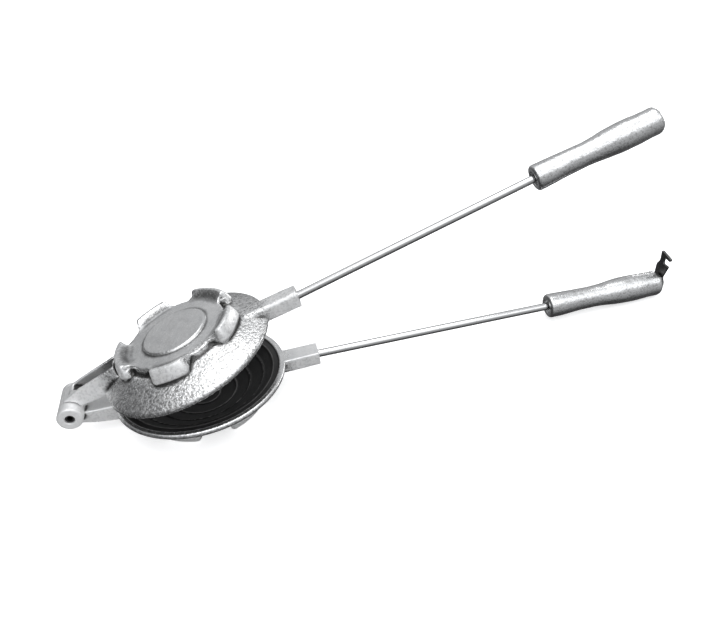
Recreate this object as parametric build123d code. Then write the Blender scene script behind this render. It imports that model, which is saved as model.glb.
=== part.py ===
from build123d import *
import os
from math import asin, cos, degrees, hypot, radians, sin, sqrt, tan

# A jaffle maker for a camp fire: two identical cast pan halves face each other and swing on a roll
# pin. Each half carries a steel rod and a cast grip. A flat hook on the lower grip catches a stud
# on the upper grip.
#
# Each half is drawn in its own frame: the hinge axis is Y through the origin, the handle points
# along +X, and +Z points outward, away from the facing half. The lower half is the same casting
# turned half a turn about X.

# Pose at rest, in degrees
open_angle = 13.8

# Pan
rim_radius = 65.0
hinge_reach = 29.7
rim_gap = 0.2
rim_edge = 3.0
rim_break = 0.8
dome_start = 3.9
dome_height = 22.0

# Cooking surface
lip_width = 4.2
land_width = 3.8
land_depth = 1.3
land_draft = 0.4
bowl_depth = 19.3
ring_shares = (0.193, 0.43, 0.628, 0.828)
outer_ring_inset = 1.3
ring_base = 2.2
ring_top = 0.9
ring_height = 0.8

# Crown: a round platform with a raised centre plate and five lobes, which are the feet below
crown_radius = 37.5
crown_step = 4.4
crown_lip = 1.8
crown_round = 1.0
crown_cove = 6.5
plate_inset = 13.2
plate_rise = 1.7
plate_draft = 0.8
lobe_count = 5
lobe_first = -26.0
lobe_reach = 8.1
lobe_flat = 2.4
lobe_ramp = 9.2
lobe_dish = 0.7
lobe_half_width = 20.0
lobe_narrowing = 0.385
lobe_draft = 9.0
lobe_corner = 4.0
lobe_round = 1.1
foot_clearance = 1.0

# Arm between hinge and pan
arm_floor = 2.0
arm_floor_thickness = 3.2
arm_half_width = 9.4
arm_half_width_crown = 11.8
ridge_half_width = 7.5
ridge_half_width_crown = 8.3
ridge_width = 2.6
ridge_height = 14.6
ridge_bend = 15.0
ridge_drop = 3.9
crown_overlap = 0.8
arm_tail = 0.4
channel_start = 7.0
channel_skew = 48.0
channel_ramp = 5.0

# Hinge
knuckle_radius = 9.2
knuckle_length = 17.0
knuckle_gap = 0.2
relief_clearance = 0.5
knuckle_break = 0.8
pin_radius = 3.46
pin_clearance = 0.04
pin_wall = 1.3
pin_slot = 1.2
pin_inset = 1.2
pin_break = 0.4

# Handle socket
socket_reach = 26.3
socket_height = 12.2
socket_width = 15.8
socket_width_end = 15.0
socket_round = 3.6
socket_depth = 22.0

# Handle rod
rod_radius = 3.0
rod_clearance = 0.02
rod_start_height = 5.6
rod_slope = 2.05
rod_run = 191.0
rod_chamfer = 0.5

# Grip
grip_length = 100.0
grip_tilt = 1.3
grip_bore_depth = 30.0
grip_front_radius = 9.8
grip_waist_radius = 8.8
grip_swell_radius = 10.9
grip_waist_at = 0.38
grip_swell_at = 0.70
grip_rear_radius = 10.3
grip_lift = 0.1
grip_front_round = 2.2
grip_end_round = 4.6
recess_width = 2.4
recess_depth = 4.0

# Latch
hook_thickness = 1.8
hook_gap = 0.25
hook_eye_radius = 5.0
hook_base = 8.0
hook_base_height = 5.4
hook_neck = 1.8
hook_neck_height = 7.0
hook_shoulder = 8.9
hook_shoulder_drop = 9.0
hook_prong = 4.3
hook_prong_drop = 2.6
hook_throat = 1.2
hook_throat_drop = 3.8
hook_web = 4.0
hook_web_drop = 3.4
hook_barb = 4.6
hook_barb_lift = 0.8
hook_barb_thickness = 2.4
hook_tip = 7.9
hook_tip_rise = 5.7
hook_corner = 0.7
hook_bend = 5.0
rivet_radius = 1.75
rivet_clearance = 0.05
rivet_head_radius = 3.6
rivet_head_height = 1.5
rivet_head_gap = 0.2
rivet_depth = 12.0
stud_radius = 1.8
stud_head_radius = 2.7
stud_head_thickness = 1.1
stud_head_round = 0.5
stud_head_gap = 0.8
stud_drop = 7.0
stud_side = 3.8
stud_depth = 12.0
stud_pass = 0.544
notch_clearance = 0.6

# How far a cut runs past the solid that it cuts
past = 1.0

# Places that follow from the sizes above
pan_centre = hinge_reach + rim_radius
socket_end = pan_centre + rim_radius + socket_reach
grip_start = socket_end + rod_run
grip_start_height = rod_start_height + rod_run * tan(radians(rod_slope))
grip_end_x = grip_start + grip_length * cos(radians(grip_tilt))
grip_end_height = grip_start_height + grip_length * sin(radians(grip_tilt))
rod_length = rod_run / cos(radians(rod_slope))
swell_place = grip_length * grip_swell_at
grip_low = (
    grip_start_height
    + swell_place * sin(radians(grip_tilt))
    + grip_swell_radius * cos(radians(grip_tilt))
)
bowl_radius = rim_radius - lip_width - land_width
rings = [share * bowl_radius for share in ring_shares] + [bowl_radius - outer_ring_inset]
plate_radius = crown_radius - plate_inset
arm_end = pan_centre - crown_radius + crown_overlap
lobe_outer = crown_radius + lobe_reach
lobe_inner = lobe_outer - lobe_flat
seat_radius = hypot(2 * grip_end_height - stud_drop, stud_side)
notch_room = stud_radius + notch_clearance
latched_lean = -degrees(asin(stud_side / seat_radius))
hook_swing = degrees(asin((notch_room + hook_web + stud_radius + stud_pass) / seat_radius))
hook_lean = latched_lean + hook_swing
hook_outer = hook_gap + hook_thickness
rod_axis = Pos(socket_end, 0, rod_start_height) * Rot(0, -rod_slope, 0)
grip_frame = Pos(grip_start, 0, grip_start_height) * Rot(0, -grip_tilt, 0)
grip_end_frame = grip_frame * Pos(grip_length, 0, 0)


def side_face(*pieces):
    """Closed face in the XZ plane, drawn with (x, z) points."""
    return Plane.XZ * make_face(Curve() + list(pieces))


def along_x(radius, start, end):
    """Cylinder on the X axis between two places."""
    return Pos((start + end) / 2, 0, 0) * Rot(0, 90, 0) * Cylinder(radius, end - start)


def along_y(radius, start, end):
    """Cylinder on the Y axis between two places."""
    return Pos(0, (start + end) / 2, 0) * Rot(90, 0, 0) * Cylinder(radius, end - start)


def cap_centre(edge_radius, edge_height, top):
    """Height of the centre, on the axis, of the sphere through an edge circle and a top point."""
    rise = top - edge_height
    return top - (rise**2 + edge_radius**2) / (2 * rise)


def cap_height(centre, radius, at):
    """Height of a sphere's top at a distance from the axis."""
    return centre + sqrt(radius**2 - at**2)


dome_centre = cap_centre(rim_radius, dome_start, dome_height)
dome_radius = dome_height - dome_centre
bowl_centre = cap_centre(bowl_radius, rim_gap + land_depth, bowl_depth)
bowl_sphere = bowl_depth - bowl_centre


def on_dome(radius):
    """Point of the dome's section at a distance from the pan's axis."""
    return (radius, cap_height(dome_centre, dome_radius, radius))


crown_height = on_dome(crown_radius)[1] + crown_step
foot_height = max(grip_low + grip_lift, crown_height + plate_rise + foot_clearance)


def dome_and_crown():
    """Outside of the pan: rim edge, shallow dome, cove, rounded lip, platform and plain plate."""
    shoulder = rim_radius - rim_break
    cove = crown_radius + crown_cove
    lip_low = crown_height - crown_lip
    plate_top = crown_height + plate_rise
    slope = cove / (on_dome(cove)[1] - dome_centre)
    outline = side_face(
        Line((0, rim_gap), (shoulder, rim_gap)),
        Line((shoulder, rim_gap), (rim_radius, rim_gap + rim_break)),
        Line((rim_radius, rim_gap + rim_break), (rim_radius, rim_edge)),
        Line((rim_radius, rim_edge), on_dome(shoulder)),
        ThreePointArc(on_dome(shoulder), on_dome((shoulder + cove) / 2), on_dome(cove)),
        TangentArc(on_dome(cove), (crown_radius, lip_low), tangent=(-1, slope)),
        Line((crown_radius, lip_low), (crown_radius, crown_height - crown_round)),
        RadiusArc(
            (crown_radius, crown_height - crown_round),
            (crown_radius - crown_round, crown_height),
            -crown_round,
        ),
        Line((crown_radius - crown_round, crown_height), (plate_radius + plate_draft, crown_height)),
        Line((plate_radius + plate_draft, crown_height), (plate_radius, plate_top)),
        Line((plate_radius, plate_top), (0, plate_top)),
        Line((0, plate_top), (0, rim_gap)),
    )
    return revolve(outline, Axis.Z)


def lobe_half(x, height):
    """Half width of a lobe at a distance from the pan's axis and a height, with its draft."""
    draft = (crown_height - height) * tan(radians(lobe_draft))
    return lobe_half_width - lobe_narrowing * (x - plate_radius) + draft


def lobe():
    """One lobe of the crown: a dished ramp up to a flat tip, with drafted sides."""
    bottom = on_dome(lobe_outer)[1] - 3 * past
    near = plate_radius - 4 * past
    end = lobe_outer + (foot_height - bottom) * tan(radians(lobe_draft))
    half = lobe_half(end, bottom)
    far = sqrt(end**2 - half**2)
    plan = make_face(
        Curve()
        + [
            Line((near, lobe_half(near, bottom)), (near, -lobe_half(near, bottom))),
            Line((near, -lobe_half(near, bottom)), (far, -half)),
            ThreePointArc((far, -half), (end, 0), (far, half)),
            Line((far, half), (near, lobe_half(near, bottom))),
        ]
    )
    plan = fillet(plan.vertices().filter_by(lambda v: v.X > near + past), lobe_corner)
    block = extrude(Pos(0, 0, bottom) * plan, foot_height - bottom, taper=lobe_draft)
    toe = (lobe_inner - lobe_ramp, crown_height - past / 4)
    middle = ((toe[0] + lobe_inner) / 2, (toe[1] + foot_height) / 2 - lobe_dish)
    ramp = side_face(
        Line((0, toe[1]), toe),
        ThreePointArc(toe, middle, (lobe_inner, foot_height)),
        Line((lobe_inner, foot_height), (lobe_inner, foot_height + past)),
        Line((lobe_inner, foot_height + past), (0, foot_height + past)),
        Line((0, foot_height + past), (0, toe[1])),
    )
    solid = block - revolve(ramp, Axis.Z)
    tips = solid.edges().filter_by(
        lambda e: e.center().Z > foot_height - past / 2 and e.center().X > lobe_inner - past
    )
    return fillet(tips, lobe_round)


def lobes():
    """All lobes around the pan's axis."""
    step = 360 / lobe_count
    one = lobe()
    return [Rot(0, 0, lobe_first + step * i) * one for i in range(lobe_count)]


def on_bowl(radius, lift=0.0):
    """Point of the bowl's section at a distance from its axis, or raised off its surface."""
    return (radius, cap_height(bowl_centre, bowl_sphere, radius) - lift)


def bowl_arc(outer, inner):
    """Stretch of the bowl's plain surface between two radii."""
    return ThreePointArc(on_bowl(outer), on_bowl((outer + inner) / 2), on_bowl(inner))


def bowl():
    """The hollow of the pan: bare lip, coated land, then the bowl with its raised rings."""
    land = rim_gap + land_depth
    lip = rim_radius - lip_width
    step = (lip - land_draft, land)
    foot, crest = ring_base / 2, ring_top / 2
    pieces = [
        Line((0, -past), (lip, -past)),
        Line((lip, -past), (lip, rim_gap)),
        Line((lip, rim_gap), step),
        Line(step, on_bowl(bowl_radius)),
    ]
    reached = bowl_radius
    for radius in sorted(rings, reverse=True):
        pieces.append(bowl_arc(reached, radius + foot))
        pieces.append(
            Polyline(
                on_bowl(radius + foot),
                on_bowl(radius + crest, ring_height),
                on_bowl(radius - crest, ring_height),
                on_bowl(radius - foot),
            )
        )
        reached = radius - foot
    pieces += [bowl_arc(reached, 0), Line(on_bowl(0), (0, -past))]
    return revolve(side_face(*pieces), Axis.Z)


def ridge_line(x):
    """Height of the arm's two ridges: steeper near the hinge, then straight to the crown."""
    rise = (crown_height + crown_overlap - ridge_height) / (arm_end - ridge_bend)
    if x < ridge_bend:
        rise = ridge_drop / ridge_bend
    return ridge_height + rise * (x - ridge_bend)


def arm():
    """Arm from the hinge to the crown: two ridges with a deep channel between them."""
    tail = -arm_tail
    body = side_face(
        Polyline(
            (tail, arm_floor),
            (tail, ridge_line(tail)),
            (ridge_bend, ridge_height),
            (arm_end, ridge_line(arm_end)),
            (arm_end + crown_cove, crown_height - crown_lip),
            (arm_end + crown_cove, arm_floor),
            (tail, arm_floor),
        )
    )
    block = extrude(body, 2 * arm_half_width_crown, both=True)
    block &= arm_draft(0)
    floor = arm_floor + arm_floor_thickness
    top = 2 * crown_height
    start = channel_start - arm_half_width
    trough = side_face(
        Polyline(
            (start, top),
            (start, ridge_height),
            (channel_start, ridge_height - past),
            (channel_start + channel_ramp, floor),
            (arm_end + past, floor),
            (arm_end + past, top),
            (start, top),
        )
    )
    channel = extrude(trough, arm_half_width, both=True)
    channel &= arm_draft(ridge_width)
    corner = Box(4 * arm_end, 4 * arm_end, 4 * crown_height, align=(Align.MIN, Align.CENTER, Align.CENTER))
    channel &= Pos(channel_start, 0, 0) * Rot(0, 0, channel_skew) * corner
    return block - channel


def arm_draft(inset):
    """Drafted bar along the arm, narrower at the ridges than at the floor and next to the hinge."""
    start, end = -arm_tail - past, arm_end + crown_cove + past
    sections = []
    for x, low, high, ridge in (
        (start, arm_half_width, ridge_half_width, ridge_height),
        (end, arm_half_width_crown, ridge_half_width_crown, crown_height),
    ):
        lean = (low - high) / (ridge - arm_floor)
        bottom, top = low - inset, high - inset - lean * (2 * crown_height - ridge)
        outline = Polyline(
            (-bottom, arm_floor),
            (bottom, arm_floor),
            (top, 2 * crown_height),
            (-top, 2 * crown_height),
            (-bottom, arm_floor),
        )
        sections.append(Plane.YZ.offset(x) * make_face(outline))
    return loft(sections, ruled=True)


def knuckle():
    """Hinge knuckle of this half, on the +Y side of the middle."""
    solid = along_y(knuckle_radius, knuckle_gap, knuckle_length)
    ends = solid.edges().filter_by(lambda e: e.center().Y > knuckle_length - knuckle_gap)
    return chamfer(ends, knuckle_break)


def socket():
    """Socket that runs from the dome out to the rod, flush with the rim face."""
    inside = pan_centre + rim_radius / 2
    sections = [
        Plane.YZ.offset(x) * socket_section(width)
        for x, width in ((inside, socket_width), (socket_end, socket_width_end))
    ]
    return loft(sections)


def socket_section(width):
    """Cross-section of the socket: flat underneath, with both outer corners rounded."""
    middle = (socket_height + rim_gap) / 2
    block = Rectangle(width, socket_height - rim_gap)
    outer = block.vertices().filter_by(lambda v: v.Y > 0)
    return Pos(0, middle) * fillet(outer, socket_round)


def pan_half():
    """One casting: dome, crown, lobes, arm, knuckle and socket in a single solid."""
    round_parts = dome_and_crown()
    for one in lobes():
        round_parts += one
    solid = Pos(pan_centre, 0, 0) * round_parts
    solid += arm()
    solid += knuckle()
    solid += socket()
    solid -= Pos(pan_centre, 0, 0) * bowl()
    relief = knuckle_radius + relief_clearance
    solid -= along_y(relief, -knuckle_length - past, knuckle_gap)
    solid -= along_y(pin_radius + pin_clearance, -past, knuckle_length + past)
    solid -= rod_axis * along_x(rod_radius + rod_clearance, -socket_depth, past)
    return solid


def hinge_pin():
    """Slotted roll pin, set in a little from both knuckle faces."""
    reach = knuckle_length - pin_inset
    tube = along_y(pin_radius, -reach, reach)
    tube = chamfer(tube.edges().filter_by(GeomType.CIRCLE), pin_break)
    tube -= along_y(pin_radius - pin_wall, -reach - past, reach + past)
    return tube - Pos(0, 0, -pin_radius) * Box(pin_slot, 2 * reach + past, 2 * pin_radius)


def rod():
    """Straight steel rod from the bottom of the socket to the bottom of the grip's bore."""
    solid = along_x(rod_radius, -socket_depth, rod_length + grip_bore_depth)
    return rod_axis * chamfer(solid.edges().filter_by(GeomType.CIRCLE), rod_chamfer)


def s_curve(start, end):
    """Two equal arcs from one point to another, level at both ends."""
    middle = ((start[0] + end[0]) / 2, (start[1] + end[1]) / 2)
    first = TangentArc(start, middle, tangent=(1, 0))
    return first, TangentArc(middle, end, tangent=first % 1)


def grip_profile():
    """Half outline of the grip along its own axis: collar, waist, swell and blunt end."""
    front, rear = grip_front_round, grip_length - grip_end_round
    flat = grip_rear_radius - grip_end_round
    collar = (front, grip_front_radius)
    waist = (grip_length * grip_waist_at, grip_waist_radius)
    swell = (swell_place, grip_swell_radius)
    return side_face(
        Line((0, 0), (0, grip_front_radius - front)),
        RadiusArc((0, grip_front_radius - front), collar, front),
        *s_curve(collar, waist),
        *s_curve(waist, swell),
        *s_curve(swell, (rear, grip_rear_radius)),
        RadiusArc((rear, grip_rear_radius), (grip_length, flat), grip_end_round),
        Line((grip_length, flat), (grip_length, 0)),
        Line((grip_length, 0), (0, 0)),
    )


def grip():
    """Cast grip with a recess round the rod and the rod's bore."""
    recess = along_x(rod_radius + recess_width, -past, recess_depth)
    solid = grip_frame * (revolve(grip_profile(), Axis.X) - recess)
    bore_end = rod_length + grip_bore_depth
    return solid - rod_axis * along_x(rod_radius + rod_clearance, rod_length - past, bore_end)


def lower_grip():
    """Grip of the lower half, drilled on its axis for the hook's rivet."""
    return grip() - grip_end_frame * along_x(rivet_radius, -rivet_depth, past)


def upper_grip():
    """Grip of the upper half, drilled near its facing side for the catch stud."""
    return grip() - stud_frame() * along_x(stud_radius, -stud_depth, past)


def stud_frame():
    """Place of the catch stud on the end of the upper grip."""
    return grip_end_frame * Pos(0, stud_side, -stud_drop)


def catch_stud():
    """Headed stud pressed into the upper grip's end."""
    head = hook_outer + stud_head_gap
    shank = along_x(stud_radius, -stud_depth, head)
    cap = along_x(stud_head_radius, head, head + stud_head_thickness)
    rim = cap.edges().filter_by(lambda e: e.center().X > head + stud_head_thickness / 2)
    return stud_frame() * (shank + chamfer(rim, stud_head_round))


def latch_rivet():
    """Domed rivet that the hook turns on."""
    start = hook_outer + rivet_head_gap
    head = along_x(rivet_head_radius, start, start + rivet_head_height)
    rim = head.edges().filter_by(lambda e: e.center().X > start + rivet_head_height / 2)
    return along_x(rivet_radius, -rivet_depth, start) + fillet(rim, rivet_head_height * 0.8)


def hook_outline():
    """Hook with its eye at the origin and its notch, which opens to one side, round the stud.

    The points are (y, z), with the stud straight above the eye.
    """
    seat = seat_radius
    eye_side, eye_height = hook_eye_radius * 0.9, hook_eye_radius * 0.4
    barb_low = seat + notch_room + hook_barb_lift
    corners = Polyline(
        (-eye_side, eye_height),
        (-hook_neck, hook_neck_height),
        (-hook_prong, seat - hook_prong_drop),
        (hook_throat, seat - hook_throat_drop),
        (notch_room, seat - notch_room),
        (notch_room, seat + notch_room),
        (-hook_barb, barb_low),
        (-hook_barb, barb_low + hook_barb_thickness),
        (hook_tip, seat + hook_tip_rise),
        (notch_room + hook_web, seat - hook_web_drop),
        (hook_shoulder, seat - hook_shoulder_drop),
        (hook_base, hook_base_height),
        (eye_side, -eye_height),
        (-eye_side, eye_height),
    )
    plate = make_face(corners)
    back = plate.vertices().filter_by(lambda v: v.X > notch_room + past and v.Y > hook_base_height + past)
    plate = fillet(back.filter_by(lambda v: v.Y < seat), hook_bend)
    ends = plate.vertices().filter_by(lambda v: v.Y > seat + notch_room / 2 or v.X < -hook_neck)
    plate = fillet(ends.filter_by(lambda v: v.Y > hook_neck_height + past), hook_corner)
    return plate + Circle(hook_eye_radius) - Circle(rivet_radius + rivet_clearance)


def latch_hook():
    """Flat steel hook, leaning far enough at rest for the stud to pass behind it."""
    flat = Plane.YZ.offset(hook_gap) * hook_outline()
    return Rot(hook_lean, 0, 0) * extrude(flat, hook_thickness)


def place_upper(shape):
    """Upper half: turned up about the hinge by the opening angle."""
    return Pos(0, 0, foot_height) * Rot(0, -open_angle, 0) * shape


def place_lower(shape):
    """Lower half: the same casting turned half a turn about X."""
    return Pos(0, 0, foot_height) * Rot(180, 0, 0) * shape


def place_latch(shape):
    """Latch pieces: at the lower grip's end, with +Z towards the upper half."""
    return Pos(grip_end_x, 0, foot_height - grip_end_height) * Rot(0, grip_tilt, 0) * shape


def build():
    """All pieces by name, before the move to the shared origin."""
    casting = pan_half()
    return {
        "lower_pan": place_lower(casting),
        "upper_pan": place_upper(casting),
        "hinge_pin": place_lower(hinge_pin()),
        "lower_rod": place_lower(rod()),
        "upper_rod": place_upper(rod()),
        "lower_grip": place_lower(lower_grip()),
        "upper_grip": place_upper(upper_grip()),
        "catch_stud": place_upper(catch_stud()),
        "latch_rivet": place_latch(latch_rivet()),
        "latch_hook": place_latch(latch_hook()),
    }


def middle_of_footprint(pieces):
    """Point on the ground under the middle of the whole object's box."""
    boxes = [piece.bounding_box() for piece in pieces.values()]
    low_x = min(box.min.X for box in boxes)
    high_x = max(box.max.X for box in boxes)
    low_y = min(box.min.Y for box in boxes)
    high_y = max(box.max.Y for box in boxes)
    ground = min(box.min.Z for box in boxes)
    return Vector((low_x + high_x) / 2, (low_y + high_y) / 2, ground)


def main():
    """Moves the origin to the middle of the footprint, on the feet, and writes the pieces."""
    pieces = build()
    origin = middle_of_footprint(pieces)
    os.makedirs("parts", exist_ok=True)
    for name, piece in pieces.items():
        export_step(Pos(-origin.X, -origin.Y, -origin.Z) * piece, f"parts/{name}.step")
    print("hinge axis", Vector(0, 0, foot_height) - origin)
    print("pan centre", Vector(pan_centre, 0, foot_height) - origin)
    print("hook pivot", Vector(grip_end_x, 0, foot_height - grip_end_height) - origin)
    print("seat radius", seat_radius, "latched lean", latched_lean, "rest lean", hook_lean)


main()
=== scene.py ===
import math

import bmesh
import bpy
import numpy as np
from mathutils import Matrix, Vector, noise


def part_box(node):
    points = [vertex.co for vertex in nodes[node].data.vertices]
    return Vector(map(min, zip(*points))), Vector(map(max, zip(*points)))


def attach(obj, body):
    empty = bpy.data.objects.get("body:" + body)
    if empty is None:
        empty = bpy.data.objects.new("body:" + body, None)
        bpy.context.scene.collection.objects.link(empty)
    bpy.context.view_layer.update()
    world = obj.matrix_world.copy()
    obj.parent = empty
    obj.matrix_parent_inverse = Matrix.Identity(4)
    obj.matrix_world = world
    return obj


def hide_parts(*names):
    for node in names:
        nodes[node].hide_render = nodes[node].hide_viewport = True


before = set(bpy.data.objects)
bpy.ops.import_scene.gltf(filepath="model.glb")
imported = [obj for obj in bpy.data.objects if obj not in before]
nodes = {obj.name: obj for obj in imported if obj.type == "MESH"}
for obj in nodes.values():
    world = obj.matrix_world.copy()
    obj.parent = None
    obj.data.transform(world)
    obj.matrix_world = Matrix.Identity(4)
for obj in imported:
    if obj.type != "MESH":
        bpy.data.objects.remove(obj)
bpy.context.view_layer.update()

MM = 0.001


def mm(*values):
    return tuple(value * MM for value in values)


def node_middle(name):
    low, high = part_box(name)
    return (low + high) / 2


# Camera, measured from the hinge axis
HINGE = node_middle("hinge_pin")
CAMERA_OFFSET = Vector((159.2, -428.4, 305.0)) * MM
CAMERA_UP = Vector((0.223, 0.511, 0.830))
CAMERA_BACK = Vector((-0.124, -0.830, 0.544))
CAMERA_LENS = 33.86
SENSOR_WIDTH = 36.0
CLIP_START = 0.01

# Each band is a pair of values that a smooth step goes across. Reach is the distance from the
# pan's middle, and height goes out from the rim through the crown.

# Pans
PAN_VOXEL = 0.66 * MM
PAN_REACH = 94.7 * MM
PAN_RADIUS = 65.0 * MM
LID_OPEN = math.radians(13.8)
KNUCKLE_BAND = mm(9.5, 13)
BORE_BAND = mm(3.1, 3.58)
SOCKET_BAND = mm(60, 74)
ARM_BAND = mm(54, 68)
RIM_BAND = mm(1.5, 4)
OUTSIDE_BAND = (-0.25, 0.05)
LOWER_SEEDS = (8, 11)
UPPER_SEEDS = (3, 5)
PAN_SWELL_SIZE = 14 * MM
PAN_SWELL = 0.22 * MM
PAN_RIPPLE_SIZE = 3.4 * MM
PAN_RIPPLE = 0.055 * MM

# Dark coating in the bowl
COAT_RADIUS = 60.8 * MM
COAT_BAND = mm(-0.25, 0.25)
COAT_FACING = (0.05, 0.4)
COAT_SEED = 21
COAT_WAVE_SIZE = 5 * MM
COAT_WAVE = 0.25 * MM

# Dome, and its neck at the arm and the socket
DOME_HEIGHT = 13.44 * MM
DOME_SLOPE = 0.56
NECK_BAND = mm(50, 54)
NECK_END = 78 * MM
NECK_HEIGHT = 2.2 * MM
NECK_FILLS = 14

# Crown
CROWN_HEIGHT = 20.68 * MM
CROWN_RADIUS = 37.5 * MM
CROWN_EXTENT = 50 * MM
CROWN_BASE = mm(8, 11)
CROWN_SIDE = (CROWN_HEIGHT - 4 * MM, CROWN_HEIGHT - 1.6 * MM)
CROWN_TOP = (CROWN_HEIGHT - 4 * MM, CROWN_HEIGHT - 0.5 * MM)
CROWN_EDGE = mm(38, 43)
FLAT_TOP = (CROWN_HEIGHT - 1.3 * MM, CROWN_HEIGHT - 0.4 * MM)
FLAT_END = 45 * MM
PLATE_RADIUS = 25.5 * MM
LIP_BAND = mm(34, 36.5)
LIP_PUSH = 0.7 * MM
FALL_SIDE = math.radians(-50)
FALL_DEPTH = 1.7 * MM
FALL_CURVE = 1.5
MOAT_RADIUS = 39.8 * MM
MOAT_WIDTH = 1.5 * MM
MOAT_DEPTH = 1.1 * MM
MOAT_LEVEL = (0.0, 0.5)
UNDER_LIP = mm(37.2, 38.2)
UNDER_LIP_END = mm(39.5, 44.5)
UNDER_LIP_LEVEL = mm(0.3, 1.2)

# Lobes round the crown
LOBE_REACH = 45.6 * MM
LOBE_STEP = math.radians(72)
LOBE_FIRST = math.radians(-26)
LOBE_SKIRT = (LOBE_REACH + 2.4 * MM, LOBE_REACH + 5 * MM)
LOBE_PROUD = mm(0.6, 3.2)
LOBE_FILLS = 4
FAN_BAND = mm(38.5, 45)
TURN_BAND = mm(33, 38)
FOOT_BAND = mm(42.5, 45)
FOOT_HEIGHT = 25.02 * MM
FOOT_DEPTH = 10 * MM
FOOT_BELLY = 0.5
TIP_BAND = mm(41.5, 44)
TIP_HEIGHT = mm(15, 18)
FACE_BAND = mm(43.4, 45)
FACE_LEVEL = mm(1, 3)
RAMP_START = 31 * MM
RAMP_END = 43.4 * MM
RAMP_HEIGHT = (CROWN_HEIGHT + 0.3 * MM, CROWN_HEIGHT + 1.2 * MM)
# Each lobe's fan and turn in degrees and its foot's push in millimetres:
# right, back right, back left, left, front
LOBE_FAN = (3.0, 7.0, 1.5, 8.5, 0.0)
LOBE_TURN = (5.0, 0.0, -4.0, -8.0, 2.0)
LOBE_FOOT = (1.4, 2.4, 2.4, 1.6, 2.4)

# Channel in the arm
CHANNEL_HALF_WIDTH = 6.2 * MM
CHANNEL_END = -46 * MM
CHANNEL_REACH = 90 * MM
CHANNEL_FLOOR = 4 * MM
CHANNEL_TOP = mm(11, 13)

# How much each place counts: for dull metal, for the loss of grain and for painted shade
SOCKET_MATTE = 0.8
FACE_MATTE = 0.8
TOP_CALM = 0.88
RAMP_ROUGH = 0.4
KNUCKLE_CALM = 0.6
MATTE_CALM = 0.7
INSIDE_CALM = 0.7
LEAST_GRAIN = 0.12
HOLLOW_STEPS = 30
LIP_SHADE = 0.25
CHANNEL_SHADE = 0.7
RAMP_SHADE = 0.24

# Grips and small steel pieces
GRIP_VOXEL = 0.62 * MM
GRIP_ENDS = mm(3, 12)
GRIP_SWELL_SIZE = 17 * MM
GRIP_SWELL = 0.28 * MM
GRIP_RIPPLE_SIZE = 4.5 * MM
GRIP_RIPPLE = 0.07 * MM
LOWER_GRIP_SEED = 31
UPPER_GRIP_SEED = 37
HARDWARE_EDGE = 0.15 * MM
ROLL_PIN_EDGE = 0.1 * MM
BEVEL_ANGLE = math.radians(35)
SHARP_ANGLE = math.radians(32)
WELD_DISTANCE = 2e-6

# Studio brightness against height, from straight down at -1 to straight up at 1
WORLD_FRONT = (
    (-1, 0.04), (-0.8, 0.06), (-0.62, 0.19), (-0.45, 0.28), (-0.2, 0.40),
    (0.1, 0.48), (0.3, 0.62), (0.42, 0.95), (0.52, 1.4), (1, 1.6),
)
WORLD_BACK = (
    (-1, 0.04), (-0.8, 0.08), (-0.6, 0.16), (-0.3, 0.2), (-0.05, 0.3),
    (0.3, 0.47), (0.6, 0.52), (0.74, 0.6), (0.82, 0.9), (1, 1.2),
)
WORLD_TINT = (0.985, 1, 1.02)
FRONT_BAND = (-0.08, -0.42)
LEFT_BAND = (-0.75, -0.3)
LEFT_SHADE = 0.3
BACKDROP_RADIUS = 14.0
FLOOR_HALF = 15
LIGHT_TARGET = Vector((0, 0, 0.03))


def link(obj):
    bpy.context.scene.collection.objects.link(obj)
    return obj


def make_camera():
    data = bpy.data.cameras.new("camera")
    data.lens = CAMERA_LENS
    data.sensor_width = SENSOR_WIDTH
    data.clip_start = CLIP_START
    camera = link(bpy.data.objects.new("camera", data))
    back = CAMERA_BACK.normalized()
    right = CAMERA_UP.cross(back).normalized()
    up = back.cross(right)
    turn = Matrix((right, up, back)).transposed()
    camera.matrix_world = Matrix.Translation(HINGE + CAMERA_OFFSET) @ turn.to_4x4()
    bpy.context.scene.camera = camera


# ---------------------------------------------------------------- surfaces


def smoothstep(values, low, high):
    t = np.clip((values - low) / (high - low), 0, 1)
    return t * t * (3 - 2 * t)


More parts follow.
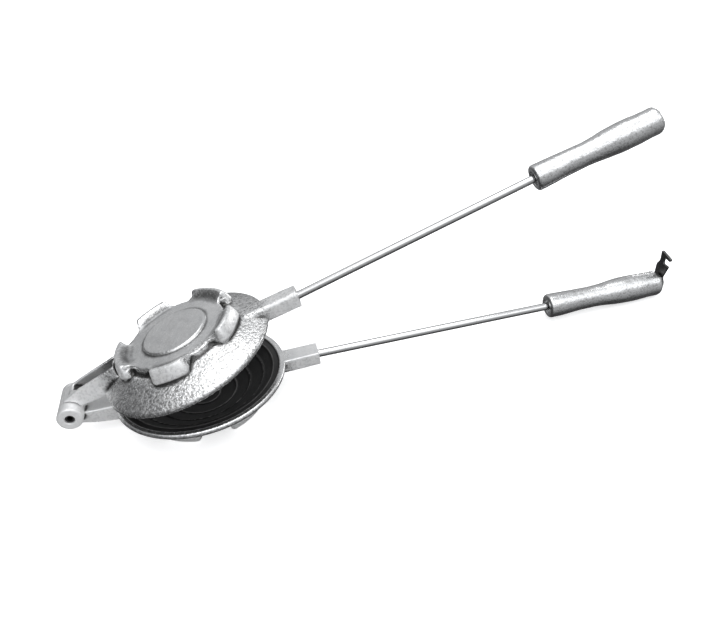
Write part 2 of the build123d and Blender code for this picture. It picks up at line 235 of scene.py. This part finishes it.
class Surface:
    """A mesh's points and edges as arrays, for smoothing and shaping."""

    def __init__(self, mesh):
        self.mesh = mesh
        self.count = len(mesh.vertices)
        flat = np.empty(self.count * 3)
        mesh.vertices.foreach_get("co", flat)
        self.points = flat.reshape(-1, 3)
        ends = np.empty(len(mesh.edges) * 2, dtype=np.int32)
        mesh.edges.foreach_get("vertices", ends)
        self.ends = ends.reshape(-1, 2)
        self.degree = np.bincount(ends, minlength=self.count).astype(float)

    def around(self, values):
        """Mean of each point's neighbours."""
        a, b = self.ends.T
        columns = values.reshape(self.count, -1)
        out = np.empty_like(columns)
        for k in range(columns.shape[1]):
            column = columns[:, k]
            total = np.bincount(a, column[b], self.count) + np.bincount(b, column[a], self.count)
            out[:, k] = total / self.degree
        return out.reshape(values.shape)

    def soften(self, values, times):
        for _ in range(times):
            values = (values + self.around(values)) / 2
        return values

    def write(self):
        self.mesh.vertices.foreach_set("co", self.points.ravel())
        self.mesh.update()

    def normals(self):
        self.write()
        flat = np.empty(self.count * 3)
        self.mesh.vertices.foreach_get("normal", flat)
        return flat.reshape(-1, 3)

    def bulge(self):
        """How far each point stands out from its neighbours, as a share of the edge length."""
        a, b = self.ends.T
        length = np.linalg.norm(self.points[a] - self.points[b], axis=1).mean()
        normals = self.normals()
        return ((self.points - self.around(self.points)) * normals).sum(axis=1) / length

    def relax(self, weight):
        """Moves each point towards the mean of its neighbours."""
        self.points += (self.around(self.points) - self.points) * weight[:, None]

    def fill(self, weight, times):
        """Fills inside corners with a cast fillet and leaves outside corners alone."""
        for turn in range(times):
            if turn % 4 == 0:
                normals = self.normals()
            step = self.around(self.points) - self.points
            inward = (step * normals).sum(axis=1) > 0
            self.points += step * (weight * inward)[:, None] * 0.8

    def ease(self, weight, times):
        """Smooths without shrinking."""
        for _ in range(times):
            for pull in (0.5, -0.52):
                self.relax(weight * pull)

    def sunken_shade(self, times):
        """How far each point lies under a smoothed copy of the surface, in millimetres, which the
        cast material darkens as painted shade.
        """
        smooth = self.points
        for _ in range(times):
            smooth = self.around(smooth)
        return ((smooth - self.points) * self.normals()).sum(axis=1) / MM

    def store(self, name, values, low=0.0, high=1.0):
        """Keeps values as a point attribute that the materials read."""
        layer = self.mesh.attributes.new(name, "FLOAT", "POINT")
        values = np.clip(values, low, high)
        layer.data.foreach_set("value", np.ascontiguousarray(values, dtype=np.float32))

    def store_wear_and_shade(self, hollow_times):
        """Keeps the edges as crest, for wear, and the inside corners as hollow, for painted shade.
        """
        bulge = self.soften(self.bulge(), 1)
        self.store("crest", bulge)
        self.store("hollow", self.soften(-bulge, hollow_times))


def lumps(points, size, seed, octaves=2):
    """Smooth noise from -1 to 1 at each point, with lumps of that size."""
    shift = Vector((seed * 3.17, seed * 1.73, seed * 2.41))
    found = [noise.fractal(Vector(p) / size + shift, 1.0, 2.0, octaves) for p in points.tolist()]
    return np.array(found)


def welded(name, source):
    mesh = source.data.copy()
    mesh.name = name
    form = bmesh.new()
    form.from_mesh(mesh)
    bmesh.ops.remove_doubles(form, verts=form.verts, dist=WELD_DISTANCE)
    form.to_mesh(mesh)
    form.free()
    mesh.materials.clear()
    return mesh


def remeshed(name, source, voxel):
    """An even skin over a CAD node, fine enough to shape."""
    obj = link(bpy.data.objects.new(name + "_rough", welded(name + "_rough", source)))
    change = obj.modifiers.new("remesh", "REMESH")
    change.mode = "VOXEL"
    change.voxel_size = voxel
    change.use_smooth_shade = True
    depsgraph = bpy.context.evaluated_depsgraph_get()
    mesh = bpy.data.meshes.new_from_object(obj.evaluated_get(depsgraph))
    mesh.name = name
    bpy.data.objects.remove(obj)
    return mesh


def add_piece(name, mesh, node, body, material):
    mesh.materials.clear()
    mesh.materials.append(material)
    for polygon in mesh.polygons:
        polygon.use_smooth = True
    piece = link(bpy.data.objects.new(name, mesh))
    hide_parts(node)
    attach(piece, body)
    return piece


def pan_coordinates(points, upper):
    """Points in the pan's own frame: x along the arm and z out through the crown."""
    lean, out = (LID_OPEN, 1) if upper else (0.0, -1)
    along = np.array((math.cos(lean), 0, math.sin(lean)))
    outward = np.array((-math.sin(lean), 0, math.cos(lean))) * out
    axes = np.stack((along, (0, 1, 0), outward))
    return (points - np.array(HINGE) - along * PAN_REACH) @ axes.T, axes


def over_dome(reach, height):
    """How far a point stands over the dome's outside near the crown."""
    return height - (DOME_HEIGHT - DOME_SLOPE * (reach - LOBE_REACH))


def shape_lobes(local, mirror, outside):
    """Makes the regular crown uneven, as the real casting is.

    The lobes fan out, turn and bulge at the foot. Between them the crown's top falls away
    from its plate on one side, and its lip stands out over a shallow moat in the dome.
    """
    x, y, height = local.T
    reach = np.hypot(x, y)
    angle = np.arctan2(y * mirror, x)
    number = np.round((angle - LOBE_FIRST) / LOBE_STEP).astype(int)
    off = angle - LOBE_FIRST - number * LOBE_STEP
    fans = np.radians(LOBE_FAN)[number % 5]
    turns = np.radians(LOBE_TURN)[number % 5]
    feet = np.array(LOBE_FOOT)[number % 5]

    near = 1 - smoothstep(reach, *LOBE_SKIRT)
    fan = smoothstep(reach, *FAN_BAND) * near * outside
    turn = smoothstep(reach, *TURN_BAND) * near * outside
    middle = np.cos(math.pi * off / LOBE_STEP) ** 2
    swing = fans * fan * np.sin(2 * math.pi * off / LOBE_STEP)
    angle = angle + swing + turns * turn * middle

    proud = smoothstep(over_dome(reach, height), *LOBE_PROUD)
    slope = smoothstep(reach, *FOOT_BAND) * proud * near * outside
    low = np.clip((FOOT_HEIGHT - height) / FOOT_DEPTH, 0, 1)
    reach = reach + (feet * low + FOOT_BELLY * np.sin(math.pi * low)) * MM * slope

    fall = (reach - PLATE_RADIUS) / (CROWN_RADIUS - PLATE_RADIUS)
    fall = np.clip(fall, 0, 1) ** FALL_CURVE * np.clip(np.cos(angle - FALL_SIDE), 0, 1)
    top = smoothstep(height, *CROWN_TOP)
    top = top * (1 - smoothstep(reach, *CROWN_EDGE)) * outside * (1 - middle)
    moat = np.exp(-(((reach - MOAT_RADIUS) / MOAT_WIDTH) ** 2))
    moat = moat * (1 - smoothstep(proud, *MOAT_LEVEL)) * outside
    height = height - FALL_DEPTH * fall * top - MOAT_DEPTH * moat
    reach = reach + LIP_PUSH * top * smoothstep(reach, *LIP_BAND)
    angle = angle * mirror
    return np.stack((reach * np.cos(angle), reach * np.sin(angle), height), axis=1)


def clear_bore(surface):
    """Keeps the casting off the hinge pin."""
    inner, bore = BORE_BAND
    middle = np.array((HINGE.x, HINGE.z))
    across = surface.points[:, [0, 2]] - middle
    distance = np.linalg.norm(across, axis=1)
    in_bore = (distance > inner) & (distance < bore)
    across[in_bore] *= (bore / distance[in_bore])[:, None]
    surface.points[:, [0, 2]] = across + middle


def cast_pan(name, node, upper, body, material):
    surface = Surface(remeshed(name, nodes[node], PAN_VOXEL))
    local, axes = pan_coordinates(surface.points, upper)
    outward = axes[2]
    outside = surface.soften(smoothstep(surface.normals() @ outward, *OUTSIDE_BAND), 3)
    inside = 1 - outside
    shaped = shape_lobes(local, 1 if upper else -1, outside)
    surface.points += (shaped - local) @ axes
    along, across, height = shaped.T
    reach = np.hypot(along, across)
    hinge_x = surface.points[:, 0] - HINGE.x
    hinge_z = surface.points[:, 2] - HINGE.z
    knuckle = smoothstep(np.hypot(hinge_x, hinge_z), *KNUCKLE_BAND)

    # Fillets and soft corners
    on_crown = smoothstep(height, *CROWN_BASE) * (reach < CROWN_EXTENT)
    below_top = 1 - smoothstep(height, *CROWN_SIDE)
    lobe_foot = on_crown * below_top * (0.1 + 0.9 * smoothstep(reach, *CROWN_EDGE))
    near_neck = smoothstep(reach, *NECK_BAND) * (reach < NECK_END) * (height > NECK_HEIGHT)
    lobe_tip = smoothstep(reach, *TIP_BAND) * smoothstep(height, *TIP_HEIGHT)
    surface.fill(lobe_foot * outside * knuckle, LOBE_FILLS)
    surface.fill(near_neck * outside * knuckle, NECK_FILLS)
    surface.relax(0.7 * lobe_tip)
    surface.ease(0.35 * knuckle, 2)
    surface.ease(on_crown * outside, 2)

    # Uneven skin, calmer inside, at the rim and round the hinge
    normals = surface.normals()
    rim = smoothstep(np.abs(reach - PAN_RADIUS), *RIM_BAND)
    free = knuckle * np.maximum(rim, 0.3)
    swell_seed, ripple_seed = UPPER_SEEDS if upper else LOWER_SEEDS
    swell = lumps(surface.points, PAN_SWELL_SIZE, swell_seed) * PAN_SWELL
    ripple = lumps(surface.points, PAN_RIPPLE_SIZE, ripple_seed) * PAN_RIPPLE
    amount = (swell * (1 - 0.8 * inside) + ripple * (1 - 0.85 * inside)) * free
    surface.points += normals * amount[:, None]
    clear_bore(surface)
    low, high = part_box(node)
    surface.points = np.clip(surface.points, low, high)

    # Dark coating in the bowl
    facing = surface.soften(smoothstep(-(surface.normals() @ outward), *COAT_FACING), 4)
    edge = COAT_RADIUS + lumps(surface.points, COAT_WAVE_SIZE, COAT_SEED) * COAT_WAVE
    coat = facing * smoothstep(edge - reach, *COAT_BAND)

    # Duller and smoother places: socket, arm, lobes' faces and the crown's flat top
    socket = smoothstep(along, *SOCKET_BAND)
    level = over_dome(reach, height)
    lobe_face = smoothstep(reach, *FACE_BAND) * smoothstep(level, *FACE_LEVEL)
    lobe_face = lobe_face * (reach < CROWN_EXTENT) * (height > 0) * outside
    matte = np.maximum(SOCKET_MATTE * socket, smoothstep(-along, *ARM_BAND))
    matte = np.maximum(matte, FACE_MATTE * lobe_face)
    flat_top = smoothstep(height, *FLAT_TOP) * (reach < FLAT_END)
    on_ramp = smoothstep(height, *RAMP_HEIGHT) * outside
    on_ramp = on_ramp * (reach > RAMP_START) * (reach < RAMP_END)
    grain = 1 - TOP_CALM * flat_top * (1 - RAMP_ROUGH * on_ramp)
    grain = grain - KNUCKLE_CALM * (1 - knuckle) - MATTE_CALM * matte - INSIDE_CALM * inside

    # Painted shade: darker in hollows, under the crown's lip, in the arm's channel and on the
    # lobes' ramps
    under_lip = smoothstep(reach, *UNDER_LIP) * (1 - smoothstep(reach, *UNDER_LIP_END))
    under_lip = under_lip * (1 - smoothstep(level, *UNDER_LIP_LEVEL)) * outside
    in_channel = (np.abs(across) < CHANNEL_HALF_WIDTH) * (along < CHANNEL_END)
    in_channel = in_channel * (reach < CHANNEL_REACH) * (height > CHANNEL_FLOOR)
    in_channel = in_channel * (1 - smoothstep(height, *CHANNEL_TOP)) * outside
    sunken_shade = surface.sunken_shade(HOLLOW_STEPS) + LIP_SHADE * under_lip
    sunken_shade += CHANNEL_SHADE * surface.soften(in_channel, 2)
    sunken_shade += RAMP_SHADE * surface.soften(on_ramp, 1)

    surface.store("coat", coat)
    surface.store("matte", matte)
    surface.store("grain", grain, low=LEAST_GRAIN)
    surface.store("sunken_shade", sunken_shade, high=2)
    surface.store_wear_and_shade(2)
    return add_piece(name, surface.mesh, node, body, material)


def cast_grip(name, node, body, seed, material):
    surface = Surface(remeshed(name, nodes[node], GRIP_VOXEL))
    low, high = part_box(node)
    ends = np.minimum(surface.points[:, 0] - low.x, high.x - surface.points[:, 0])
    middle = smoothstep(ends, *GRIP_ENDS)
    surface.ease(np.full(surface.count, 0.6), 4)
    normals = surface.normals()
    swell = lumps(surface.points, GRIP_SWELL_SIZE, seed) * GRIP_SWELL
    ripple = lumps(surface.points, GRIP_RIPPLE_SIZE, seed + 4) * GRIP_RIPPLE
    surface.points += normals * ((swell * middle) + ripple * (0.2 + 0.8 * middle))[:, None]
    surface.store_wear_and_shade(3)
    return add_piece(name, surface.mesh, node, body, material)


def bevelled(name, node, body, width, material):
    """A small steel piece with its edges broken."""
    mesh = welded(name, nodes[node])
    form = bmesh.new()
    form.from_mesh(mesh)
    sharp = [e for e in form.edges if e.is_manifold and e.calc_face_angle(0) > BEVEL_ANGLE]
    bmesh.ops.bevel(
        form, geom=sharp, offset=width, segments=2, profile=0.5, affect="EDGES", clamp_overlap=True
    )
    form.to_mesh(mesh)
    form.free()
    piece = add_piece(name, mesh, node, body, material)
    mesh.set_sharp_from_angle(angle=SHARP_ANGLE)
    return piece


# --------------------------------------------------------------- materials


def grey(value, warmth=0.0):
    return (value * (1 + warmth), value, value * (1 - warmth), 1)


# Middle part of a noise texture's values, and of what the mesh says about its edges
NOISE_BAND = (0.3, 0.7)
CREST_BAND = (0.08, 0.3)
HOLLOW_BAND = (0.05, 0.25)
NOISE_ROUGHNESS = 0.55

# Cast aluminium: sizes of its spots, depth of its grain, and its colours
PAN_COARSE = 1.9 * MM
PAN_FINE = 0.5 * MM
PAN_CLOUD = 9 * MM
PAN_PITS = 1.7 * MM
PAN_PATCHES = 3 * MM
PAN_BUMP = 0.48 * MM
PAN_BODY = (grey(0.80, -0.004), grey(0.92, 0.004))
PAN_GRAIN = grey(0.30, 0.01)
PAN_PIT = grey(0.16, 0.02)
# Painted shade in inside corners
PAN_HOLLOW_SHADE = grey(0.08, 0.015)
# Painted shade in sunken places, under the crown's lip, in the arm's channel and on the lobes'
# ramps
PAN_SUNKEN_SHADE = grey(0.055, 0.015)
PAN_CREST = grey(0.9)
FILM = (grey(0.010), grey(0.020, 0.01))
FILM_WORN = grey(0.32, 0.01)

# Polished casting
GRIP_COARSE = 1.7 * MM
GRIP_FINE = 0.5 * MM
GRIP_CLOUD = 12 * MM
GRIP_BUMP = 0.2 * MM
GRIP_BODY = (grey(0.72, -0.003), grey(0.84))
GRIP_GRAIN = grey(0.38, 0.01)
# Painted shade in inside corners
GRIP_HOLLOW_SHADE = grey(0.25, 0.01)
GRIP_CREST = grey(0.92)

# Drawn steel rod
ROD_LINES = 0.35 * MM
ROD_CLOUD = 16 * MM
ROD_SPOTS = 1.4 * MM
ROD_BUMP = 0.01 * MM
ROD_BODY = (grey(0.66), grey(0.80))
ROD_SPOT = grey(0.22, 0.03)
SPOT_BAND = (0.36, 0.26)

# Dark steel
DARK_COARSE = 1.3 * MM
DARK_FINE = 0.3 * MM
DARK_BUMP = 0.05 * MM
DARK_BODY = (grey(0.10), grey(0.17, 0.01))
DARK_BAND = (0.35, 0.65)

# Paper of the floor and the backdrop
PAPER_CLOUD = 0.3
PAPER = (grey(0.90), grey(0.94))
PAPER_ROUGHNESS = 0.95
FLOOR_GLOW = 0.6
BACKDROP_GLOW = 1.0


class Graph:
    """A node tree, made one node at a time and wired by the nodes' inputs."""

    def __init__(self, tree):
        self.tree = tree

    def plug(self, socket, value):
        if isinstance(value, bpy.types.NodeSocket):
            self.tree.links.new(value, socket)
        else:
            socket.default_value = value

    def add(self, kind, inputs=None, **settings):
        node = self.tree.nodes.new(kind)
        for key, value in settings.items():
            setattr(node, key, value)
        for key, value in (inputs or {}).items():
            self.plug(node.inputs[key], value)
        return node

    def spread(self, value, low, high, to_low=0.0, to_high=1.0):
        """Carries the band from low to high over to another, and stops at its ends."""
        inputs = {"Value": value, "From Min": low, "From Max": high}
        inputs.update({"To Min": to_low, "To Max": to_high})
        return self.add("ShaderNodeMapRange", inputs).outputs["Result"]

    def math(self, operation, a, b):
        return self.add("ShaderNodeMath", {0: a, 1: b}, operation=operation).outputs["Value"]

    def times(self, a, b):
        return self.math("MULTIPLY", a, b)

    def plus(self, a, b):
        return self.math("ADD", a, b)

    def minus(self, a, b):
        return self.math("SUBTRACT", a, b)

    def mix(self, factor, a, b):
        """Colour that goes from a to b."""
        node = self.add("ShaderNodeMix", {0: factor}, data_type="RGBA")
        for key, value in (("A", a), ("B", b)):
            socket = [s for s in node.inputs if s.name == key and s.type == "RGBA"][0]
            self.plug(socket, value)
        return [s for s in node.outputs if s.type == "RGBA"][0]


class Material(Graph):
    def __init__(self, name):
        self.material = bpy.data.materials.new(name)
        self.material.use_nodes = True
        super().__init__(self.material.node_tree)
        self.shader = self.tree.nodes["Principled BSDF"]
        self.place = self.add("ShaderNodeTexCoord").outputs["Object"]

    def speckle(self, size, detail=2.0, stretch=None):
        """Noise with spots of that size, stretched along an axis where its scale is under 1."""
        place = self.place
        if stretch:
            inputs = {"Vector": place, "Scale": stretch}
            place = self.add("ShaderNodeMapping", inputs).outputs["Vector"]
        inputs = {"Vector": place, "Scale": 1 / size, "Detail": detail}
        inputs["Roughness"] = NOISE_ROUGHNESS
        return self.add("ShaderNodeTexNoise", inputs).outputs["Fac"]

    def attribute(self, name):
        return self.add("ShaderNodeAttribute", attribute_name=name).outputs["Fac"]

    def bump(self, height, depth):
        bump = self.add("ShaderNodeBump", {"Height": height, "Distance": depth, "Strength": 1.0})
        self.plug(self.shader.inputs["Normal"], bump.outputs["Normal"])

    def wire(self, **values):
        for key, value in values.items():
            self.plug(self.shader.inputs[key.replace("_", " ")], value)


def pan_metal():
    """Sand-cast aluminium, with a worn dark coating where the mesh says so, and painted shade in
    its inside corners and sunken places.
    """
    g = Material("cast_aluminium")
    coarse = g.speckle(PAN_COARSE)
    fine = g.speckle(PAN_FINE)
    cloud = g.spread(g.speckle(PAN_CLOUD, 4), *NOISE_BAND)
    pits = g.spread(g.speckle(PAN_PITS, 1), 0.31, 0.25)
    grain = g.attribute("grain")
    coat = g.attribute("coat")
    crest = g.attribute("crest")
    hollow = g.attribute("hollow")
    sunken_shade = g.attribute("sunken_shade")
    matte = g.attribute("matte")

    body = g.mix(cloud, *PAN_BODY)
    dark_grain = g.times(g.spread(coarse, 0.53, 0.36), grain)
    body = g.mix(g.times(dark_grain, 0.75), body, PAN_GRAIN)
    body = g.mix(g.times(g.times(pits, grain), 0.5), body, PAN_PIT)
    # Painted shade in inside corners
    body = g.mix(g.spread(hollow, 0.06, 0.25, 0, 0.8), body, PAN_HOLLOW_SHADE)
    # Painted shade where the surface is sunken
    body = g.mix(g.spread(sunken_shade, 0.1, 0.55, 0, 0.97), body, PAN_SUNKEN_SHADE)
    body = g.mix(g.spread(crest, *CREST_BAND, 0, 0.6), body, PAN_CREST)

    patches = g.spread(g.speckle(PAN_PATCHES), 0.3, 0.5, 0.55, 1)
    worn = g.times(g.spread(crest, 0.05, 0.16), patches)
    film = g.mix(worn, g.mix(cloud, *FILM), FILM_WORN)
    colour = g.mix(coat, body, film)

    rough = g.spread(coarse, *NOISE_BAND, 0.17, 0.28)
    rough = g.plus(rough, g.spread(hollow, 0.05, 0.3, 0, 0.14))
    rough = g.minus(rough, g.spread(crest, *CREST_BAND, 0, 0.08))
    rough = g.plus(rough, g.times(matte, 0.15))
    film_rough = g.spread(fine, *NOISE_BAND, 0.42, 0.56)
    inputs = {"Factor": coat, "A": rough, "B": film_rough}
    rough = g.add("ShaderNodeMix", inputs).outputs["Result"]

    height = g.plus(coarse, g.times(fine, 0.35))
    height = g.minus(height, g.times(pits, 0.5))
    height = g.times(height, g.times(grain, g.spread(coat, 0, 1, 1, 0.25)))
    g.bump(height, PAN_BUMP)
    metallic = g.times(g.spread(coat, 0, 1, 1, 0), g.spread(matte, 0, 1, 0.96, 0.56))
    g.wire(Base_Color=colour, Roughness=rough, Metallic=metallic)
    return g.material


def grip_metal():
    """Polished casting, with soft spots, worn edges and painted shade in its inside corners."""
    g = Material("polished_casting")
    coarse = g.speckle(GRIP_COARSE, 3)
    fine = g.speckle(GRIP_FINE)
    cloud = g.speckle(GRIP_CLOUD, 3)
    hollow = g.attribute("hollow")
    crest = g.attribute("crest")
    colour = g.mix(g.spread(cloud, *NOISE_BAND), *GRIP_BODY)
    colour = g.mix(g.spread(coarse, 0.5, 0.34, 0, 0.5), colour, GRIP_GRAIN)
    # Painted shade in inside corners
    colour = g.mix(g.spread(hollow, *HOLLOW_BAND, 0, 0.6), colour, GRIP_HOLLOW_SHADE)
    colour = g.mix(g.spread(crest, *CREST_BAND, 0, 0.6), colour, GRIP_CREST)
    rough = g.spread(g.plus(coarse, g.times(cloud, 0.4)), 0.4, 1.0, 0.11, 0.2)
    g.bump(g.plus(coarse, g.times(fine, 0.3)), GRIP_BUMP)
    g.wire(Base_Color=colour, Roughness=rough, Metallic=1.0)
    return g.material


def rod_metal():
    """Drawn steel rod, with fine lines along it."""
    g = Material("rod_steel")
    lines = g.speckle(ROD_LINES, stretch=(0.02, 1, 1))
    cloud = g.speckle(ROD_CLOUD, 3, stretch=(0.4, 1, 1))
    spots = g.speckle(ROD_SPOTS)
    colour = g.mix(g.spread(lines, 0.35, 0.65), *ROD_BODY)
    colour = g.mix(g.spread(spots, *SPOT_BAND, 0, 0.5), colour, ROD_SPOT)
    rough = g.spread(cloud, *NOISE_BAND, 0.05, 0.10)
    rough = g.plus(rough, g.spread(spots, *SPOT_BAND, 0, 0.2))
    g.bump(lines, ROD_BUMP)
    g.wire(Base_Color=colour, Roughness=rough, Metallic=1.0)
    return g.material


def hook_metal():
    """Dark steel of the latch and the pin."""
    g = Material("dark_steel")
    coarse = g.speckle(DARK_COARSE, 3)
    fine = g.speckle(DARK_FINE)
    colour = g.mix(g.spread(coarse, *DARK_BAND), *DARK_BODY)
    rough = g.spread(fine, *NOISE_BAND, 0.3, 0.48)
    g.bump(g.plus(coarse, g.times(fine, 0.4)), DARK_BUMP)
    g.wire(Base_Color=colour, Roughness=rough, Metallic=1.0)
    return g.material


# ------------------------------------------------------------------- studio


def pale_paper(name, glow):
    g = Material(name)
    g.wire(Base_Color=g.mix(g.speckle(PAPER_CLOUD), *PAPER), Roughness=PAPER_ROUGHNESS)
    g.wire(Emission_Color=(1, 1, 1, 1), Emission_Strength=glow)
    return g.material


def make_floor():
    """White floor, and a white backdrop far behind it that only the camera sees."""
    mesh = bpy.data.meshes.new("floor")
    signs = ((-1, -1), (1, -1), (1, 1), (-1, 1))
    corners = [(x * FLOOR_HALF, y * FLOOR_HALF, 0) for x, y in signs]
    mesh.from_pydata(corners, [], [(0, 1, 2, 3)])
    floor = link(bpy.data.objects.new("floor", mesh))
    mesh.materials.append(pale_paper("floor", FLOOR_GLOW))
    floor.visible_glossy = False

    mesh = bpy.data.meshes.new("backdrop")
    form = bmesh.new()
    bmesh.ops.create_icosphere(form, subdivisions=3, radius=BACKDROP_RADIUS)
    form.to_mesh(mesh)
    form.free()
    backdrop = link(bpy.data.objects.new("backdrop", mesh))
    mesh.materials.append(pale_paper("backdrop", BACKDROP_GLOW))
    for rays in ("glossy", "diffuse", "transmission", "volume_scatter", "shadow"):
        setattr(backdrop, "visible_" + rays, False)


def make_light(name, direction, distance, size, power):
    """Soft box in that direction from the pans, facing them."""
    data = bpy.data.lights.new(name, "AREA")
    data.shape = "RECTANGLE"
    data.size, data.size_y = size
    data.energy = power
    light = link(bpy.data.objects.new(name, data))
    away = Vector(direction).normalized()
    turn = away.to_track_quat("Z", "Y").to_matrix().to_4x4()
    light.matrix_world = Matrix.Translation(LIGHT_TARGET + away * distance) @ turn


def make_world():
    """Studio walls: bright over the front, dim at the back and dark low down and to the left."""
    world = bpy.data.worlds.new("studio")
    bpy.context.scene.world = world
    world.use_nodes = True
    g = Graph(world.node_tree)

    def ramp(value, stops):
        node = g.add("ShaderNodeValToRGB", {"Fac": value})
        band = node.color_ramp
        while len(band.elements) < len(stops):
            band.elements.new(0.5)
        for element, (at, level) in zip(band.elements, stops):
            element.position = at / 2 + 0.5
            element.color = (*(level * tint for tint in WORLD_TINT), 1)
        return node.outputs["Color"]

    direction = g.add("ShaderNodeTexCoord").outputs["Generated"]
    split = g.add("ShaderNodeSeparateXYZ", {"Vector": direction}).outputs
    height = g.spread(split["Z"], -1, 1)
    front = ramp(height, WORLD_FRONT)
    back = ramp(height, WORLD_BACK)
    background = world.node_tree.nodes["Background"]
    g.plug(background.inputs["Color"], g.mix(g.spread(split["Y"], *FRONT_BAND), back, front))
    g.plug(background.inputs["Strength"], g.spread(split["X"], *LEFT_BAND, LEFT_SHADE, 1))


make_camera()
make_floor()
make_world()
make_light("overhead", (0.06, 0.05, 1.0), 2.2, (0.8, 1.6), 12)
make_light("side", (0.85, 0.52, 0.1), 1.6, (1.0, 0.5), 4)

cast = pan_metal()
polished = grip_metal()
steel = rod_metal()
dark = hook_metal()

cast_pan("lower_casting", "lower_pan", False, "lower_half", cast)
cast_pan("upper_casting", "upper_pan", True, "upper_half", cast)
cast_grip("lower_handle", "lower_grip", "lower_half", LOWER_GRIP_SEED, polished)
cast_grip("upper_handle", "upper_grip", "upper_half", UPPER_GRIP_SEED, polished)
bevelled("hook_plate", "latch_hook", "hook", HARDWARE_EDGE, dark)
bevelled("hook_rivet", "latch_rivet", "lower_half", HARDWARE_EDGE, dark)
bevelled("headed_stud", "catch_stud", "upper_half", HARDWARE_EDGE, dark)
bevelled("roll_pin", "hinge_pin", "lower_half", ROLL_PIN_EDGE, dark)
for name in ("lower_rod", "upper_rod"):
    mesh = nodes[name].data
    mesh.materials.clear()
    mesh.materials.append(steel)

bpy.context.scene.view_settings.view_transform = "Standard"
